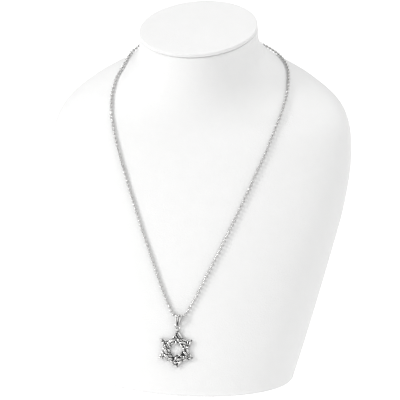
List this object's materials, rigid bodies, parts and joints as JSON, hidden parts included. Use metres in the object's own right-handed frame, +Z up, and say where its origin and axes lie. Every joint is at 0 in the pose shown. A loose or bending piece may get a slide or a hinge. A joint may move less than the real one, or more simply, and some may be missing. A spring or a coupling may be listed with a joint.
{
  "type": "star of david pendant on a ball chain, on a neck bust",
  "caption": "Openwork silver star of David pendant of woven strands, with a tapered bail, on a fine ball chain worn by a plain white neck bust.",
  "frame": {"origin": "on the surface that the bust stands on, under the middle of its box", "axes": "+Z up, the front with the pendant faces -Y, +X is to the viewer's right"},
  "size_m": [0.24, 0.168, 0.2649],
  "materials": {
    "bust_cover": "smooth matt white covering",
    "chain_silver": "polished silver",
    "pendant_silver": "polished silver, dark oxidised recesses"
  },
  "bodies": {
    "bust": {"neck_bust": "bust_cover", "neck_cap": "bust_cover", "chain_balls": "chain_silver", "chain_wire": "chain_silver", "clasp": "chain_silver", "bail": "pendant_silver", "jump_ring": "pendant_silver"},
    "pendant": {"star": "pendant_silver"}
  },
  "joints": [
    {"name": "star_swing", "type": "hinge", "parent": "bust", "child": "pendant", "pos_m": [0, -0.06679, 0.04634], "axis": [-1, 0, 0], "range_deg": [0, 110]}
  ]
}
